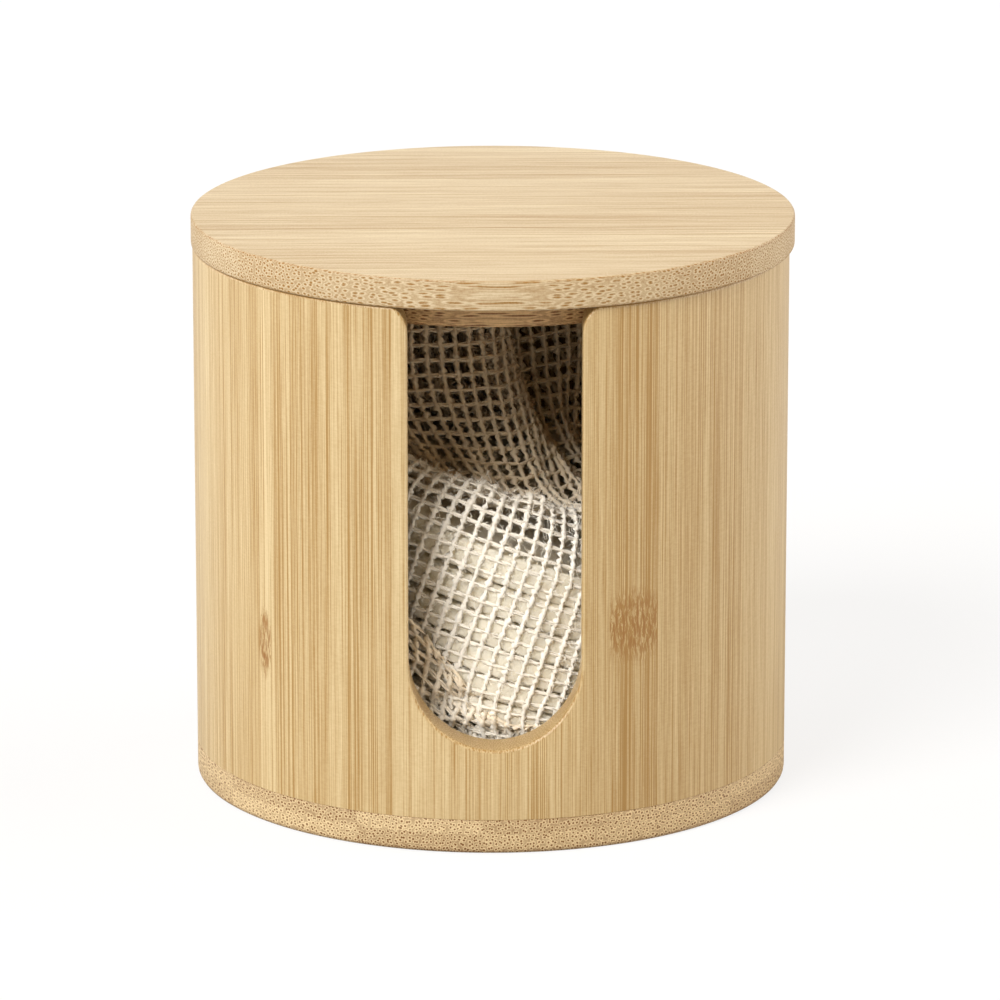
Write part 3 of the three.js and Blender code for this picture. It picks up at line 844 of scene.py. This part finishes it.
def note_run(piece, run):
    """Keeps each corner's distance up the netting, for the painted shade in the material."""
    piece.data.attributes.new("run", "FLOAT", "POINT").data.foreach_set("value", run)


CORD_WIDTH, CORD_DEPTH, CORD_STEPS, CORD_SIDES = 1.22, 0.92, 4, 4
THREAD_WIDTH, THREAD_DEPTH, THREAD_STEPS, THREAD_SIDES = 0.54, 0.46, 3, 3


def net_piece(name, knots, normals, start=0.0):
    """Netting: twisted upright cords, and in each cross row a pair of thin threads that bow apart.

    start is how far up the bag its lowest row counts for the material's painted shade.
    """
    rows, columns = knots.shape[:2]
    cord = refined(knots, CORD_STEPS)
    out = refined(normals, CORD_STEPS)
    cord += chance.normal(size=cord.shape) * 0.05
    twist = np.arange(len(cord))[:, None] * (math.pi / 4) + chance.uniform(0, 3, columns)[None]
    corners, faces = strands(cord, out, CORD_WIDTH, CORD_DEPTH, twist, CORD_SIDES, beads=0.18)
    runs = [np.repeat(start + np.arange(len(cord)) / CORD_STEPS * PITCH, columns * CORD_SIDES)]
    line = refined(knots.transpose(1, 0, 2), THREAD_STEPS)
    out = refined(normals.transpose(1, 0, 2), THREAD_STEPS)
    ahead = np.gradient(line, axis=0)
    side = np.cross(out, ahead)
    side /= np.maximum(np.linalg.norm(side, axis=-1, keepdims=True), 1e-9)
    meshes = (np.arange(len(line)) / THREAD_STEPS)[:, None, None]
    bow = 0.1 + 0.05 * np.sin(meshes % 1 * math.pi)
    bow = bow * chance.uniform(0.6, 1.25, size=(1, rows, 1))
    weave = 0.14 * np.cos(meshes * math.pi) * out
    for way in (-1, 1):
        thread = line + side * bow * way + weave * way + chance.normal(size=line.shape) * 0.03
        flat = np.zeros(thread.shape[:2])
        more, ends = strands(thread, out, THREAD_WIDTH, THREAD_DEPTH, flat, THREAD_SIDES)
        runs.append(np.tile(np.repeat(start + np.arange(rows) * PITCH, THREAD_SIDES), len(line)))
        faces += [[i + len(corners) for i in face] for face in ends]
        corners = np.concatenate([corners, more])
    piece = new_piece(name, corners, [], faces)
    note_run(piece, np.concatenate(runs))
    bpy.ops.object.shade_smooth()
    return piece


cotton_net, tree = new_material("cotton_net")
fuzz = noise(tree, scaled(tree, millimetres(tree), 3.0, 3.0, 3.0), 4.0, 0.7)
colour = mix(tree, fuzz, rgb(252, 242, 223), rgb(255, 253, 246))
# Painted shade: netting higher up the bag, which lies in the case's shade, is tinted warmer and darker
painted_warm_shade = node(tree, "Attribute", attribute_name="run").outputs["Fac"]
painted_warm_shade = node(tree, "MapRange", {"Value": painted_warm_shade, 1: 80.0, 2: 104.0}).outputs[0]
colour = mix(tree, painted_warm_shade, colour, rgb(242, 222, 188))
cotton = {"Base Color": colour, "Normal": relief(tree, fuzz, 0.5, 0.2)}
cotton |= {"Roughness": 0.95, "Specular IOR Level": 0.1, "Sheen Weight": 0.25, "Sheen Roughness": 0.5}
surface(tree, node(tree, "BsdfPrincipled", cotton).outputs[0])

normals = net_normals(net)
half = COLUMNS // 4
panels = {"front": np.arange(-half, half + 1), "back": np.arange(half, COLUMNS - half + 1)}
for side, columns in panels.items():
    columns = columns % COLUMNS
    panel = net_piece(f"net_{side}_panel", net[:, columns], normals[:, columns])
    panel.data.materials.append(cotton_net)
    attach(panel, "contents")
    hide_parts(f"bag_{side}_panel")

# Fuzz: loose cotton fibres that stand out from the threads behind the slot.
# Each is a thin curled hair through three points.
FIBRES = 9000
FIBRE_WIDTH = 0.07
FIBRE_LIMITS = (41.8, -40.0, 8.2, 85.8)
row, column = chance.integers(6, ROWS - 3, FIBRES), chance.integers(-8, 8, FIBRES)
upright = chance.random(FIBRES) < 0.5
start, end = net[row, column], net[row + upright, column + ~upright]
start = start + (end - start) * chance.random((FIBRES, 1))
way = chance.normal(size=(FIBRES, 3)) + 0.4 * normals[row, column]
way /= np.linalg.norm(way, axis=1, keepdims=True)
curl = chance.normal(size=(FIBRES, 3)) * 0.3
length = chance.uniform(0.6, 1.7, (FIBRES, 1))
fibres = np.stack([start + 0.2 * way, start + way * length * 0.6, start + (way + curl) * length])
keep_in(fibres, FIBRE_LIMITS)
up = np.broadcast_to(np.cross(way, curl), fibres.shape)
corners, faces = strands(fibres, up, FIBRE_WIDTH, FIBRE_WIDTH, np.zeros(fibres.shape[:2]), THREAD_SIDES)
fuzz = new_piece("net_fuzz", corners, [], faces)
note_run(fuzz, np.tile(np.repeat(row * PITCH, THREAD_SIDES), len(fibres)))
fuzz.data.materials.append(cotton_net)
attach(fuzz, "contents")

# Slack of the bag: loose netting bunched in rope-like folds beside the raised left of the stack.
# Like the bag it is tinted warmer and darker at its top, as painted shade.
SLACK_COLUMNS = 24
SLACK_ROWS = 15
SLACK_START = 62.0
across, rise = np.meshgrid(np.linspace(-28, 14, SLACK_COLUMNS), np.linspace(0, 1, SLACK_ROWS))
height = 9.5 + 20 * ramped(-across, -4, 19)
fold = rise * height * 1.05 + 0.7 * np.sin(across / 3.5)
slack = np.stack([across + 0.8 * np.sin(rise * 9), -38.0 + 1.0 * np.sin(fold), 8.8 + height * rise], -1)
slack += chance.normal(size=slack.shape) * 0.12
keep_in(slack, KNOT_LIMITS)
along, around = np.gradient(slack, axis=0), np.gradient(slack, axis=1)
outward = np.cross(along, around)
outward /= np.linalg.norm(outward, axis=-1, keepdims=True)
bunch = net_piece("net_slack", slack, outward, SLACK_START)
bunch.data.materials.append(cotton_net)
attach(bunch, "contents")
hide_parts("bag_slack")
